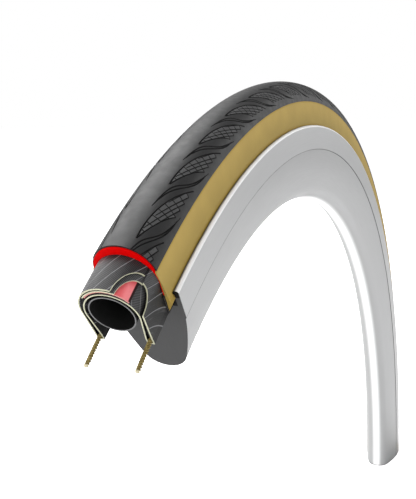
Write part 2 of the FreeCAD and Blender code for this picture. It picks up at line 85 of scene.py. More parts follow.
class Finish:
    # a node material, built outwards from its shader; lengths in it are metres
    def __init__(self, name, roughness, specular=0.5, metallic=0.0):
        self.material = bpy.data.materials.new(name)
        self.material.use_nodes = True
        self.nodes = self.material.node_tree.nodes
        self.links = self.material.node_tree.links
        self.shader = self.nodes["Principled BSDF"]
        self.set("Roughness", roughness)
        self.set("Specular IOR Level", specular)
        self.set("Metallic", metallic)
        self.place = self.nodes.new("ShaderNodeTexCoord").outputs["Object"]

    def feed(self, socket, value):
        if isinstance(value, bpy.types.NodeSocket):
            self.links.new(value, socket)
        else:
            socket.default_value = value

    def set(self, name, value):
        self.feed(self.shader.inputs[name], value)

    def math(self, operation, *values):
        node = self.nodes.new("ShaderNodeMath")
        node.operation = operation
        for socket, value in zip(node.inputs, values):
            self.feed(socket, value)
        return node.outputs[0]

    def fade(self, value, low, high, start=0.0, end=1.0):
        # from start at low to end at high
        node = self.nodes.new("ShaderNodeMapRange")
        node.interpolation_type = "SMOOTHSTEP"
        for socket, each in zip(node.inputs, (value, low, high, start, end)):
            self.feed(socket, each)
        return node.outputs[0]

    def mix(self, amount, first, second):
        node = self.nodes.new("ShaderNodeMix")
        node.data_type = "RGBA"
        self.feed(node.inputs[0], amount)
        for socket, colour in ((node.inputs[6], first), (node.inputs[7], second)):
            isSocket = isinstance(colour, bpy.types.NodeSocket)
            self.feed(socket, colour if isSocket else (*colour, 1.0))
        return node.outputs[2]

    def noise(self, scale, detail=2.0, vector=None, stretch=(1.0, 1.0, 1.0)):
        mapping = self.nodes.new("ShaderNodeMapping")
        mapping.inputs["Scale"].default_value = stretch
        self.links.new(vector or self.place, mapping.inputs["Vector"])
        node = self.nodes.new("ShaderNodeTexNoise")
        node.inputs["Scale"].default_value = scale
        node.inputs["Detail"].default_value = detail
        self.links.new(mapping.outputs[0], node.inputs["Vector"])
        return node.outputs["Fac"]

    def join(self, x, y, z=0.0):
        node = self.nodes.new("ShaderNodeCombineXYZ")
        for socket, value in zip(node.inputs, (x, y, z)):
            self.feed(socket, value)
        return node.outputs[0]

    def bump(self, height, distance, strength=1.0):
        node = self.nodes.new("ShaderNodeBump")
        node.inputs["Strength"].default_value = strength
        node.inputs["Distance"].default_value = distance
        self.links.new(height, node.inputs["Height"])
        self.links.new(node.outputs[0], self.shader.inputs["Normal"])

    def wheel(self, centre=casingCentre):
        # turn round the wheel, radius, lean round the section from the crown, and place along the axle
        split = self.nodes.new("ShaderNodeSeparateXYZ")
        self.links.new(self.place, split.inputs[0])
        x, self.side, z = split.outputs
        outward = self.math("SUBTRACT", x, axleX)
        self.turn = self.math("ARCTAN2", z, outward)
        squares = [self.math("MULTIPLY", part, part) for part in (outward, z)]
        self.radius = self.math("POWER", self.math("ADD", *squares), 0.5)
        self.rise = self.math("SUBTRACT", self.radius, centre)
        self.lean = self.math("ARCTAN2", self.side, self.rise)

    def lines(self, distance, period, width):
        # thin lines a period apart, as 1 on a line and 0 between
        away = self.math("ABSOLUTE", self.math("WRAP", distance, period / 2, -period / 2))
        return self.fade(away, width, width * 0.3)

    def wave(self, distance, period):
        return self.math("MULTIPLY_ADD", self.math("SINE", self.math(
            "MULTIPLY", distance, 2 * pi / period)), 0.5, 0.5)


def paint(nodeNames, finish):
    for name in nodeNames:
        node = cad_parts[name]
        node.data.materials.clear()
        node.data.materials.append(finish.material)


# camera, world, lights and floor

view = {
    "place": (-0.69378, -0.11935, 0.32138),
    "azimuth": -67.16,
    "elevation": 9.60,
    "roll": -1.56,
    "lens": 55.03,
    "sensor": 36,
}


def addCamera():
    data = bpy.data.cameras.new("camera")
    data.lens = view["lens"]
    data.sensor_width = view["sensor"]
    data.clip_start = 0.01
    camera = bpy.data.objects.new("camera", data)
    camera.matrix_world = (
        Matrix.Translation(view["place"])
        @ Matrix.Rotation(radians(view["azimuth"]), 4, "Z")
        @ Matrix.Rotation(radians(90 - view["elevation"]), 4, "X")
        @ Matrix.Rotation(radians(view["roll"]), 4, "Z"))
    collection.objects.link(camera)
    bpy.context.scene.camera = camera


studio = {
    "worldLight": 0.34,
    "worldSeen": 1.0,
    "floorColour": (0.93, 0.93, 0.93),
    "floorMottle": 0.98,  # of the floor's colour, in its darker patches
    "floorSize": 60,
    "floorGap": 0.0002,  # under the object
    "floorGlow": 0.82,  # as the camera sees it, so that the floor is as pale as the backdrop
    "aimHeight": 0.22,  # of the point over the axle that the lamps face
    # each lamp's place, size in metres and power in watts
    "key": ((-0.15, 0.85, 1.75), 2.4, 54),
    "fill": ((-1.6, -1.5, 0.9), 1.8, 15),
    "rim": ((1.3, -1.0, 0.7), 1.3, 4.5),
    "front": ((-1.9, 0.7, 0.25), 1.1, 9),
}


def addStudio():
    bpy.context.scene.view_settings.view_transform = "Standard"
    world = bpy.data.worlds.new("studio")
    bpy.context.scene.world = world
    world.use_nodes = True
    nodes, links = world.node_tree.nodes, world.node_tree.links
    background = nodes["Background"]
    background.inputs["Color"].default_value = (1, 1, 1, 1)
    path = nodes.new("ShaderNodeLightPath")
    strength = nodes.new("ShaderNodeMapRange")
    strength.inputs["To Min"].default_value = studio["worldLight"]
    strength.inputs["To Max"].default_value = studio["worldSeen"]
    links.new(path.outputs["Is Camera Ray"], strength.inputs["Value"])
    links.new(strength.outputs[0], background.inputs["Strength"])
    target = Vector((axleX, 0, studio["aimHeight"]))
    for name in ("key", "fill", "rim", "front"):
        place, size, power = studio[name]
        data = bpy.data.lights.new(name, "AREA")
        data.shape = "DISK"
        data.size = size
        data.energy = power
        lamp = bpy.data.objects.new(name, data)
        lamp.location = place
        lamp.rotation_euler = (target - Vector(place)).to_track_quat("-Z", "Y").to_euler()
        collection.objects.link(lamp)
    bm = bmesh.new()
    bmesh.ops.create_grid(bm, x_segments=1, y_segments=1, size=studio["floorSize"])
    bmesh.ops.translate(bm, vec=(0, 0, cadBox[0][2] - studio["floorGap"]), verts=bm.verts)
    mesh = bpy.data.meshes.new("floor")
    bm.to_mesh(mesh)
    bm.free()
    floor = bpy.data.objects.new("floor", mesh)
    finish = Finish("paleFloor", roughness=0.9, specular=0.1)
    patches = [studio["floorMottle"] * c for c in studio["floorColour"]]
    finish.set("Base Color", finish.mix(finish.noise(6), studio["floorColour"], patches))
    seen = finish.nodes.new("ShaderNodeLightPath").outputs["Is Camera Ray"]
    finish.set("Emission Color", (1, 1, 1, 1))
    finish.set("Emission Strength", finish.math("MULTIPLY", seen, studio["floorGlow"]))
    mesh.materials.append(finish.material)
    collection.objects.link(floor)


addCamera()
addStudio()
print("camera and studio set")


# tread: a moulded tile, repeated and bent round the wheel

tread = {
    "edgeLean": 84.1,  # degrees of section from the crown to the tread's edge
    "cut": 123.65,  # degrees of wheel
    "firstTip": 122.79,  # where the first leaf's tip is
    "pitch": 5.01,  # degrees of wheel from one leaf to the next
    "pitchLean": 50,  # degrees of section where the flat tile keeps its true length
    "otherSideShift": 0.5,  # of a pitch
    "thickness": 0.6,  # millimetres, as are the groove's sizes
    "edgeThin": 0.2,  # of the groove's depth, given up towards the edge
    "grooveWidth": 0.52,
    "grooveDepth": 0.46,
    "grooveLift": 0.03,  # of the groove's middle line over the tread
    "grooveStep": 0.95,  # longest straight part of a groove, across the tread
    "weld": 0.004,  # closest that two points stay apart
    "rows": 8,
    "columns": 44,
    "colour": (0.013, 0.013, 0.0135),
    "leafColour": (0.056, 0.056, 0.057),
    # painted shade: the grooves get darker rubber than the land, standing in for the shade down in
    # them
    "grooveShadeColour": (0.004, 0.004, 0.004),
    "roughness": 0.46,
}
# a leaf lies in (along, across) millimetres from its tip and from the crown
leaf = {
    "upper": ((0, 5.47), (12, 4.9), (23, 7.6), (34.7, 14.2)),
    "lower": ((0, 5.47), (6, 7.4), (13.5, 10.2), (17.8, 13.5)),
    "sipeUpper": ((15.9, 4.4), (24.5, 5.4), (30.6, 7.2), (34.0, 11.6), (42, 14.2), (49.2, 15.3)),
    "sipeLower": ((15.9, 4.4), (24.0, 5.7), (29.6, 8.9), (35.0, 12.6), (41.5, 14.6), (46.4, 14.7)),
    # shares of the groove's width at each control point
    "upperWidths": (1.4, 1.0, 1.0, 1.2),
    "lowerWidths": (1.4, 1.0, 1.0, 1.0),
    "sipeUpperWidths": (0.6, 1.3, 1.1, 1.1, 1.5, 0.6),
    "sipeLowerWidths": (0.6, 1.4, 1.1, 1.1, 1.5, 0.9),
    "crossWidths": (0.85, 0.95, 0.95, 0.95),
    "runWidths": (0.95, 0.95, 0.95, 0.8),
    "lastWidths": (0.95, 0.9, 0.8, 0.6),
    "crossLines": 8,
    "tops": (0.125, 0.109),  # share of the upper curve to the first cross line, then to each next
    "step": (4.16, 0.13),  # from one corner of the stepped edge to the next
    "slope": 0.378,
    "runs": (11.0, 21.1, 17.8),  # along, of the lengthwise lines from the stepped edge
    "lastRun": (9.8, 3.5),  # of the one from the last cross line's top
    "overrun": 1.06,  # of a cell's length, so that its outline passes the groove
}


def along(points, t):
    # the point at t on the Bezier curve with those control points
    while len(points) > 1:
        points = [Vector(a).lerp(Vector(b), t) for a, b in zip(points, points[1:])]
    return points[0]


def straight(first, second):
    return [Vector(first).lerp(Vector(second), k / 3) for k in range(4)]


def leafPlan():
    # one leaf's groove lines with their widths, in groups whose lines don't cross,
    # and the outline of its cells
    upper = [Vector(p) for p in leaf["upper"]]
    lower = [Vector(p) for p in leaf["lower"]]
    half = leaf["crossLines"] // 2 + 1
    feet = [along(lower, k / half) for k in range(1, half + 1)]
    while len(feet) < leaf["crossLines"]:
        feet.append(feet[-1] + Vector(leaf["step"]))
    firstTop, nextTop = leaf["tops"]
    tops = [along(upper, firstTop + nextTop * k) for k in range(leaf["crossLines"])]
    uppers = [(upper, leaf["upperWidths"]), (leaf["sipeUpper"], leaf["sipeUpperWidths"])]
    lowers = [(lower, leaf["lowerWidths"]), (leaf["sipeLower"], leaf["sipeLowerWidths"])]
    crossing = [(straight(top, foot), leaf["crossWidths"]) for top, foot in zip(tops, feet)]
    lengthwise = [(straight(foot, foot - Vector((run, run * leaf["slope"]))), leaf["runWidths"])
                  for foot, run in zip(feet[half:], leaf["runs"])]
    lengthwise.append((straight(tops[-1], tops[-1] - Vector(leaf["lastRun"])), leaf["lastWidths"]))
    outline = [along(upper, k / 12) for k in range(11)] + [tops[-1]]
    for k in range(leaf["crossLines"] - 1, half - 1, -1):
        # down a cross line to its foot, then back along the lengthwise line to the next cross line
        run = (feet[k] - feet[k - 1]).x * leaf["overrun"]
        outline += [feet[k], feet[k] - Vector((run, run * leaf["slope"]))]
    outline += [along(lower, k / 8) for k in range(8, 0, -1)]
    return (uppers, lowers, crossing, lengthwise), outline


def isInside(point, outline):
    count = 0
    for a, b in zip(outline, outline[1:] + outline[:1]):
        if (a.y > point.y) != (b.y > point.y):
            count += point.x < a.x + (point.y - a.y) * (b.x - a.x) / (b.y - a.y)
    return count % 2 == 1


def finishedMesh(piece):
    # its mesh with the modifiers applied
    bpy.context.view_layer.update()
    finished = piece.evaluated_get(bpy.context.evaluated_depsgraph_get())
    return bpy.data.meshes.new_from_object(finished)


def grooveCutters(lines, pitch, shift, materials):
    # tubes of diamond section along the lines, over three pitches and both sides
    curve = bpy.data.curves.new("grooveLines", "CURVE")
    curve.dimensions = "3D"
    curve.twist_mode = "Z_UP"
    curve.bevel_depth = tread["grooveWidth"] / 2
    curve.bevel_resolution = 0
    curve.use_fill_caps = True
    for period in (-2, -1, 0, 1):
        for sideSign in (-1, 1):
            start = pitch * (period + (shift if sideSign > 0 else 0))
            for points, widths in lines:
                spline = curve.splines.new("NURBS")
                spline.points.add(len(points) - 1)
                for place, point, width in zip(spline.points, points, widths):
                    place.co = (point[0] + start, point[1] * sideSign, tread["grooveLift"], 1)
                    place.radius = width
                spline.order_u = 4
                spline.use_endpoint_u = True
                drop = abs(points[-1][1] - points[0][1])
                spline.resolution_u = max(1, ceil(drop / tread["grooveStep"] / (len(points) - 1)))
    holder = bpy.data.objects.new("grooveLines", curve)
    collection.objects.link(holder)
    mesh = finishedMesh(holder)
    bpy.data.objects.remove(holder)
    mesh.materials.clear()
    for material in materials:
        mesh.materials.append(material)
    deeper = tread["grooveDepth"] / (tread["grooveWidth"] / 2)
    bm = bmesh.new()
    bm.from_mesh(mesh)
    bmesh.ops.remove_doubles(bm, verts=bm.verts, dist=0.0005)  # joins the caps to the tubes
    bmesh.ops.scale(bm, vec=(1, 1, deeper), verts=bm.verts)
    bmesh.ops.recalc_face_normals(bm, faces=bm.faces)
    for face in bm.faces:
        face.material_index = 1
        face.smooth = False
    bm.to_mesh(mesh)
    bm.free()
    return mesh


def moulded(tileBm, cutters, materials):
    # the tile with each of the cutters' grooves taken out of it
    tileMesh = bpy.data.meshes.new("tile")
    tileBm.to_mesh(tileMesh)
    tileBm.free()
    for material in materials:
        tileMesh.materials.append(material)
    pieces = [bpy.data.objects.new(mesh.name, mesh) for mesh in (tileMesh, *cutters)]
    for piece in pieces:
        collection.objects.link(piece)
    for cutter in pieces[1:]:
        cut = pieces[0].modifiers.new("grooves", "BOOLEAN")
        cut.operation = "DIFFERENCE"
        cut.solver = "EXACT"
        cut.use_self = True
        cut.object = cutter
    mesh = finishedMesh(pieces[0])
    for piece in pieces:
        bpy.data.objects.remove(piece)
    return mesh


def treadFinish(name, colour, roughness):
    finish = Finish(name, roughness=roughness, specular=0.4)
    dust = finish.noise(900, 4)
    darker, lighter = [[share * c for c in colour] for share in (0.8, 1.25)]
    finish.set("Base Color", finish.mix(dust, darker, lighter))
    patches = finish.noise(260, 3)
    finish.set("Roughness", finish.fade(patches, 0.3, 0.7, roughness - 0.04, roughness + 0.05))
    finish.bump(finish.noise(2600, 3), 0.00004, 0.5)
    return finish


def buildTread():
    sectionRadius = treadTop.y / sin(radians(tread["edgeLean"])) * 1000
    centre = crownRadius * 1000 - sectionRadius
    perDegree = radians(centre + sectionRadius * cos(radians(tread["pitchLean"])))  # millimetres
    pitch = tread["pitch"] * perDegree
    halfWidth = radians(tread["edgeLean"]) * sectionRadius
    land = treadFinish("treadRubber", tread["colour"], tread["roughness"])
    # the grooves' darker finish is painted shade
    groove = treadFinish("grooveShadeRubber", tread["grooveShadeColour"], 0.8)
    cells = treadFinish("leafRubber", tread["leafColour"], tread["roughness"] + 0.08)
    materials = [land.material, groove.material, cells.material]
    groups, outline = leafPlan()
    # the flat tile, its top at zero
    tile = bmesh.new()
    bmesh.ops.create_grid(tile, x_segments=tread["rows"], y_segments=tread["columns"], size=0.5)
    bmesh.ops.scale(tile, vec=(pitch, 2 * halfWidth, 1), verts=tile.verts)
    bmesh.ops.translate(tile, vec=(pitch / 2, 0, 0), verts=tile.verts)
    lowered = bmesh.ops.extrude_face_region(tile, geom=tile.faces[:])["geom"]
    bmesh.ops.translate(tile, vec=(0, 0, -tread["thickness"]),
                        verts=[v for v in lowered if isinstance(v, bmesh.types.BMVert)])
    bmesh.ops.recalc_face_normals(tile, faces=tile.faces)
    cutters = [grooveCutters(lines, pitch, tread["otherSideShift"], materials) for lines in groups]
    mesh = moulded(tile, cutters, materials)
    bm = bmesh.new()
    bm.from_mesh(mesh)
    ends = [f for f in bm.faces if all(v.co.x < 1e-4 for v in f.verts)
            or all(v.co.x > pitch - 1e-4 for v in f.verts)]
    bmesh.ops.delete(bm, geom=ends, context="FACES")
    print("tread tile: %d faces" % len(bm.faces))
    top = [f for f in bm.faces if f.material_index == 0 and f.normal.z > 0.9]
    top = bmesh.ops.triangulate(bm, faces=top)["faces"]
    for face in top:
        middle = face.calc_center_median()
        shift = tread["otherSideShift"] * pitch if middle.y > 0 else 0
        for period in (-2, -1, 0):
            if isInside(Vector((middle.x - shift - period * pitch, abs(middle.y))), outline):
                face.material_index = 2
    # repeat it round the wheel and cut both ends
    first = bm.verts[:] + bm.edges[:] + bm.faces[:]
    span = (tread["firstTip"] * perDegree, (tread["firstTip"] - tread["cut"]) * perDegree)
    for k in range(1, ceil(span[0] / pitch) + 1):
        copy = bmesh.ops.duplicate(bm, geom=first)["geom"]
        moved = [v for v in copy if isinstance(v, bmesh.types.BMVert)]
        bmesh.ops.translate(bm, vec=(k * pitch, 0, 0), verts=moved)
    bmesh.ops.translate(bm, vec=(-pitch, 0, 0), verts=bm.verts)
    bmesh.ops.remove_doubles(bm, verts=bm.verts, dist=tread["weld"])
    for place, outwards in ((span[1], -1), (span[0], 1)):
        bmesh.ops.bisect_plane(bm, geom=bm.verts[:] + bm.edges[:] + bm.faces[:], dist=1e-5,
                               plane_co=(place, 0, 0), plane_no=(outwards, 0, 0), clear_outer=True)
    rims = [e for e in bm.edges if e.is_boundary]
    filled = bmesh.ops.holes_fill(bm, edges=rims, sides=0)["faces"]
    bmesh.ops.recalc_face_normals(bm, faces=bm.faces)
    for face in bm.faces:
        face.smooth = face.material_index != 1 and face.normal.z > 0.9
    print("tread: %d faces, %d ends closed, %d open edges" % (
        len(bm.faces), len(filled), len([e for e in bm.edges if e.is_boundary])))
    # bend it, millimetres to metres
    for vertex in bm.verts:
        x, y, h = vertex.co
        lean = y / sectionRadius
        reach = sectionRadius + h * (1 - tread["edgeThin"] + tread["edgeThin"] * cos(lean))
        turn = radians(tread["firstTip"] - x / perDegree)
        vertex.co = wheelPoint((centre + reach * cos(lean)) / 1000, reach * sin(lean) / 1000, turn)
    bm.normal_update()
    piece = addPiece("tread_moulded", bm, materials)
    # the land is shaded as the true round surface
    mesh = piece.data
    normals = []
    for polygon in mesh.polygons:
        for index in polygon.loop_indices:
            co = mesh.vertices[mesh.loops[index].vertex_index].co
            out = Vector((co.x - axleX, 0, co.z))
            foot = out.normalized() * (centre / 1000)
            outward = out - foot + Vector((0, co.y, 0))
            normals.append(outward.normalized() if polygon.use_smooth else Vector())
    mesh.normals_split_custom_set(normals)
    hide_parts("tread_cap")


buildTread()
print("tread built")


# casing plies, with the belt and the black rubber between them

casing = {
    "crown": 0.3369,  # radius of the outer ply's crown
    "section": 0.0113,
    "tilt": 28.6,  # degrees between the light threads and the wheel's direction
    "lightEvery": 0.00415,
    "lightWidth": 0.00018,
    "lightThread": (0.23, 0.23, 0.24),
    "lightShare": 0.85,
    "ribEvery": 0.00058,
    "ribShares": (0.75, 0.25),  # of the weave's height, along the threads and across them
    "dark": (0.014, 0.014, 0.015),
    "pale": (0.070, 0.070, 0.072),
    "blotches": (140, 0.22),  # scale of the noise, and its stretch along the threads
    "contrast": (0.5, 1.3, -0.5),  # weight of the blotches, weight of the weave, and what is added
    "flank": (0.10, 1.05),  # lean, in radians, over which the outer ply turns pale: a painted highlight on its flank
    "flankHighlightGrey": (0.30, 0.30, 0.305),
    "flankHighlightWeave": 0.35,  # how much of that shows between the ribs
    "nearBeadDark": (520, 0.14),
    "nearBeadRadii": (0.3290, 0.3235),  # where the dark near the bead begins and is full
    "nearBeadRange": (0.30, 0.42, 0.35, 1.0),
    "nearBeadBlack": (0.003, 0.003, 0.003),
    "edgeBlack": (0.004, 0.004, 0.004),
    "edgeWidth": (0.030, 0.012),  # radians of lean
    "cutEdge": (0.56, 0.56, 0.40),
    "cutDepth": (0.0005, 0.0002),  # radians round the wheel
    "wallRing": (1.05, 1.025),  # of a window's size, where its wall's colour ends
    "roughness": 0.42,
    "specular": 0.22,
    "relief": 0.00006,
}
# each ply's first light thread, which way its threads lean, its brightness, and if it has them
# its window (lean, half length round the wheel and half width) and the lean of its free edge
plies = {
    "outer_ply": {
        "start": -0.0021, "way": 1, "tone": 0.75, "window": (-58, 0.0111, 0.0071), "edge": -58},
    "middle_ply": {
        "start": -0.0086, "way": 1, "tone": 1.7, "window": (-60, 0.0085, 0.0058), "edge": None},
    "inner_ply": {
        "start": -0.0115, "way": -1, "tone": 2.0, "window": None, "edge": None},
}


def threadPlaces(finish, way):
    # distance across the light threads and along them
    behind = finish.math("SUBTRACT", radians(plyFront), finish.turn)
    ahead = finish.math("MULTIPLY", behind, casing["crown"])
    across = finish.math("MULTIPLY", finish.lean, casing["section"])
    tilt = radians(casing["tilt"])
    over = finish.math("MULTIPLY_ADD", across, cos(tilt),
                       finish.math("MULTIPLY", ahead, way * sin(tilt)))
    on = finish.math("MULTIPLY_ADD", across, -way * sin(tilt),
                     finish.math("MULTIPLY", ahead, cos(tilt)))
    return over, on


def windowWall(finish, window):
    # 1 on the wall of a ply's window
    lean, halfLength, halfWidth = window
    lean = radians(lean)
    ahead = finish.math("SUBTRACT", finish.turn, radians(plyFront))
    lengthwise = finish.math("MULTIPLY", finish.radius, finish.math("SINE", ahead))
    rise = finish.math("MULTIPLY_ADD", finish.radius, finish.math("COSINE", ahead), -casingCentre)
    sideways = finish.math("MULTIPLY", finish.side, cos(lean))
    widthwise = finish.math("MULTIPLY_ADD", rise, -sin(lean), sideways)
    shares = [finish.math("ABSOLUTE", finish.math("DIVIDE", place, half))
              for place, half in ((lengthwise, halfLength), (widthwise, halfWidth))]
    ring = finish.math("ADD", *[finish.math("POWER", share, 2.0) for share in shares])
    rightSide = finish.fade(finish.side, 0.0, -0.001)
    return finish.math("MULTIPLY", finish.fade(ring, *casing["wallRing"]), rightSide)


def plyFinish(name, values):
    finish = Finish(name + "Fabric", roughness=casing["roughness"], specular=casing["specular"])
    finish.wheel()
    over, on = threadPlaces(finish, values["way"])
    threads = finish.join(over, on)
    ribs = finish.wave(on, casing["ribEvery"])
    cross = finish.wave(over, casing["ribEvery"])
    ribShare, crossShare = casing["ribShares"]
    weave = finish.math("MULTIPLY_ADD", ribs, ribShare, finish.math("MULTIPLY", cross, crossShare))
    scale, stretch = casing["blotches"]
    blotch = finish.noise(scale, 3, threads, (1.0, stretch, 1.0))
    blotchWeight, weaveWeight, added = casing["contrast"]
    tone = finish.math("MULTIPLY_ADD", blotch, blotchWeight,
                       finish.math("MULTIPLY_ADD", weave, weaveWeight, added))
    dark = [values["tone"] * c for c in casing["dark"]]
    pale = [values["tone"] * c for c in casing["pale"]]
    colour = finish.mix(tone, dark, pale)
    if values["edge"] is not None:
        # a painted highlight: the outer ply turns pale over its flank, more faintly between its ribs
        flank = finish.math("MULTIPLY", finish.fade(finish.lean, *casing["flank"]),
                            finish.fade(weave, 0.0, 1.0, casing["flankHighlightWeave"], 1.0))
        colour = finish.mix(flank, colour, casing["flankHighlightGrey"])
    # darker towards the bead, almost black, with lighter streaks
    scale, stretch = casing["nearBeadDark"]
    nearBeadDark = finish.fade(finish.noise(scale, 2, threads, (1.0, stretch, 1.0)), *casing["nearBeadRange"])
    low = finish.fade(finish.radius, *casing["nearBeadRadii"])
    colour = finish.mix(finish.math("MULTIPLY", low, nearBeadDark), colour, casing["nearBeadBlack"])
    light = finish.lines(
        finish.math("SUBTRACT", over, values["start"]), casing["lightEvery"], casing["lightWidth"])
    lightPart = finish.math("MULTIPLY", light, casing["lightShare"])
    colour = finish.mix(lightPart, colour, casing["lightThread"])
    if values["edge"] is not None:
        far, near = [radians(values["edge"]) + width for width in casing["edgeWidth"]]
        colour = finish.mix(finish.fade(finish.lean, far, near), colour, casing["edgeBlack"])
    begins, full = [radians(plyFront) - depth for depth in casing["cutDepth"]]
    cut = finish.fade(finish.turn, begins, full)
    if values["window"]:
        cut = finish.math("MAXIMUM", cut, windowWall(finish, values["window"]))
    finish.set("Base Color", finish.mix(cut, colour, casing["cutEdge"]))
    finish.bump(finish.math("MULTIPLY_ADD", light, 0.6, weave), casing["relief"], 0.6)
    return finish


for plyName, plyValues in plies.items():
    paint([plyName], plyFinish(plyName, plyValues))

belt = {
    "pink": (0.84, 0.23, 0.245),
    "spread": 0.12,  # darker and lighter than that
    "deepPink": (0.62, 0.07, 0.08),
    "deepBehind": (0.7, 1.4),  # degrees behind the cut, over which it deepens
    "deepLean": (-46, -34),  # and degrees of section
    "deepShare": 0.75,
    "weave": 0.0005,
    "edge": -54.5,  # degrees of section
    "edgeWidth": (0.035, 0.01),  # radians of section
    "edgeDark": (0.02, 0.004, 0.004),
    "cutDepth": (0.07, 0.05),  # degrees round the wheel
    "cutEdge": (0.62, 0.26, 0.24),
    "relief": 0.00005,
}


def beltFinish():
    finish = Finish("beltFabric", roughness=0.7, specular=0.25)
    finish.wheel()
    over, on = threadPlaces(finish, -1)
    weave = finish.math("MULTIPLY", *[finish.wave(place, belt["weave"]) for place in (on, over)])
    tone = finish.math("MULTIPLY_ADD", finish.noise(160, 3), 0.5,
                       finish.math("MULTIPLY", weave, 0.35))
    darker, lighter = [[min(1.0, share * c) for c in belt["pink"]]
                       for share in (1 - belt["spread"], 1 + belt["spread"])]
    colour = finish.mix(tone, darker, lighter)
    # deeper towards the crown and away from the cut
    back = finish.fade(finish.turn, *[radians(plyFront - behind) for behind in belt["deepBehind"]])
    inward = finish.fade(finish.lean, *[radians(lean) for lean in belt["deepLean"]])
    deep = finish.math("MULTIPLY", finish.math("MAXIMUM", back, inward), belt["deepShare"])
    colour = finish.mix(deep, colour, belt["deepPink"])
    far, near = [radians(belt["edge"]) + width for width in belt["edgeWidth"]]
    colour = finish.mix(finish.fade(finish.lean, far, near), colour, belt["edgeDark"])
    cut = finish.fade(finish.turn, *[radians(plyFront - depth) for depth in belt["cutDepth"]])
    finish.set("Base Color", finish.mix(cut, colour, belt["cutEdge"]))
    finish.bump(weave, belt["relief"], 0.5)
    return finish


paint(["puncture_belt"], beltFinish())

blackRubber = {
    "colours": ((0.010, 0.010, 0.011), (0.022, 0.022, 0.022)),
    "mottle": 350,
    "grain": 1800,
    "grainStrength": 0.5,
    "roughness": 0.62,
    "specular": 0.3,
}
redBase = {
    "colours": ((0.66, 0.0, 0.0), (0.80, 0.0, 0.0)),
    "mottle": 240,
    "grain": 1500,
    "grainStrength": 0.4,
    "roughness": 0.75,
    "specular": 0.05,
}


def rubberFinish(name, values):
    # mottled between two colours, with a fine grain
    finish = Finish(name, roughness=values["roughness"], specular=values["specular"])
    finish.set("Base Color", finish.mix(finish.noise(values["mottle"], 4), *values["colours"]))
    finish.bump(finish.noise(values["grain"], 3), 0.00004, values["grainStrength"])
    return finish


paint(["skim_rubber", "belt_cushion", "filler_left", "filler_right", "chafer_left", "chafer_right"],
      rubberFinish("fillerRubber", blackRubber))
print("casing finished")

paint(["tread_base"], rubberFinish("redRubber", redBase))

sidewall = {
    "tan": (0.41, 0.294, 0.079),
    "paleTan": (0.485, 0.343, 0.095),
    "paleRadii": (0.3195, 0.3285),  # from the one to the other
    "edgeTan": (0.42, 0.288, 0.066),
    "edgeWidth": 0.0004,
    "shade": 0.5,  # of the tan, in the weave and the clouds
    "weaveRadius": 0.323,  # where the weave has its true size
    "weave": 0.0006,
    "weaveShade": -0.05,
    "clouds": (0.3, 0.75, 0.16, 0.02),
    "treadEdge": 0.3290,  # radius
    "rimEdge": 0.3186,
    "roughness": 0.68,
}


def tanFinish():
    finish = Finish("tanSidewall", roughness=sidewall["roughness"], specular=0.2)
    finish.wheel()
    ahead = finish.math("MULTIPLY", finish.turn, sidewall["weaveRadius"])
    slants = [finish.math(operation, ahead, finish.radius) for operation in ("ADD", "SUBTRACT")]
    weave = finish.math("MULTIPLY", *[finish.wave(slant, sidewall["weave"]) for slant in slants])
    height = finish.fade(finish.radius, *sidewall["paleRadii"])
    colour = finish.mix(height, sidewall["tan"], sidewall["paleTan"])
    clouds = finish.fade(finish.noise(90, 4), *sidewall["clouds"])
    darker = finish.math("MULTIPLY_ADD", weave, sidewall["weaveShade"], clouds)
    colour = finish.mix(darker, colour, [sidewall["shade"] * c for c in sidewall["tan"]])
    above, below = sidewall["treadEdge"], sidewall["rimEdge"]
    line = finish.math("MAXIMUM", finish.fade(finish.radius, above, above + sidewall["edgeWidth"]),
                       finish.fade(finish.radius, below, below - sidewall["edgeWidth"]))
    finish.set("Base Color", finish.mix(line, colour, sidewall["edgeTan"]))
    finish.bump(weave, 0.00005, 0.35)
    return finish


paint(["sidewall_left", "sidewall_right"], tanFinish())

tube = {
    "black": (0.006, 0.006, 0.006),
    "cutGrey": (0.16, 0.16, 0.165),
    "cutDepth": (0.03, 0.01),  # degrees round the wheel
    "roughness": 0.5,
}


def tubeFinish():
    finish = Finish("tubeRubber", roughness=tube["roughness"], specular=0.35)
    finish.wheel()
    cut = finish.fade(finish.turn, *[radians(plyFront - depth) for depth in tube["cutDepth"]])
    colour = finish.mix(finish.noise(300, 3), tube["black"], [2 * c for c in tube["black"]])
    finish.set("Base Color", finish.mix(cut, colour, tube["cutGrey"]))
    finish.bump(finish.noise(1200, 2), 0.00003, 0.4)
    return finish


paint(["inner_tube"], tubeFinish())
print("rubber finished")


rim = {
    "silver": (0.465, 0.468, 0.472),
    "silverSpread": 0.04,  # darker and lighter than that, in the brushing
    "brightSilver": (0.64, 0.644, 0.65),
    "trackShare": 0.35,  # of the bright silver on the brake track
    "noseHighlightWhite": (0.95, 0.95, 0.95),
    "nose": (0.0046, 0.0012),  # half width of the painted highlight along the nose, from none to full
    "noseHighlightRadii": (0.290, 0.285),
    "brushing": (18.0, 5200.0),  # round the wheel, and across it
    "roughness": 0.42,
    "roughnessSpread": 0.06,
    "trackFoot": 0.3047,  # radius of the step under the brake track
    "softEdge": 0.0002,
    "seamWidth": 0.00025,
    "seamShare": 0.75,
    "seamGrey": (0.06, 0.06, 0.062),
    "hook": 0.3165,  # radius where the hook's rounded edge begins
    "hookSides": (0.0126, 0.0140),  # from its painted shadow at the inner edge to its painted highlight at the outer one
    "hookShadow": (0.03, 0.03, 0.035),
    "hookHighlight": (0.95, 0.95, 0.95),
    "paintShare": 0.85,  # how little metal shows on the hook's edge and the nose, where the highlights are painted
    "cutGrey": (0.068, 0.068, 0.069),
    "cutBlackAndShadow": (0.003, 0.003, 0.003),
    # the black corner under the near hook: a painted shadow in the hollow under its lip
    "cornerShadowRadii": (0.3109, 0.3111),
    "cornerShadowSides": (-0.0128, -0.0126),
}


